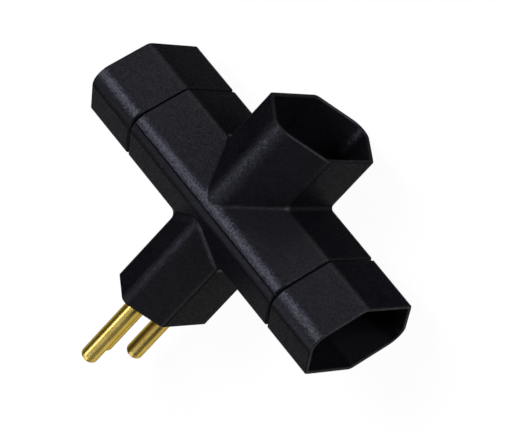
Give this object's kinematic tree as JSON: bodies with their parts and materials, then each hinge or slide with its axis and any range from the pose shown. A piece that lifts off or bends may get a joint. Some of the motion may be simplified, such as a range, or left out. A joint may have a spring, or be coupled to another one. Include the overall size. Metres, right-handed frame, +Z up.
{
  "type": "multi socket adapter",
  "caption": "Cross-shaped plastic adapter with a round-pin plug arm and recessed hexagonal socket arms, which lets several plugs share a wall outlet.",
  "frame": {"origin": "middle of the plug's face, halfway between the line and neutral pins", "axes": "pins point to +Y, into the wall, and the front socket to -Y; X runs along the body from cap to cap; +Z is up, along the long way of the hexagons, with the line pin on +Z"},
  "size_m": [0.078, 0.0738, 0.0392],
  "materials": {
    "housing": "black moulded plastic with a fine spark-eroded grain",
    "pins": "turned and polished brass",
    "contacts": "stamped spring brass"
  },
  "bodies": {
    "root": {"front_shell": "housing", "rear_shell": "housing", "left_cap": "housing", "right_cap": "housing", "line_pin": "pins", "neutral_pin": "pins", "earth_pin": "pins", "line_strip": "contacts", "neutral_strip": "contacts", "earth_strip": "contacts", "front_line_clip": "contacts", "front_neutral_clip": "contacts", "front_earth_clip": "contacts", "left_line_clip": "contacts", "left_neutral_clip": "contacts", "left_earth_clip": "contacts", "right_line_clip": "contacts", "right_neutral_clip": "contacts", "right_earth_clip": "contacts"}
  },
  "joints": []
}
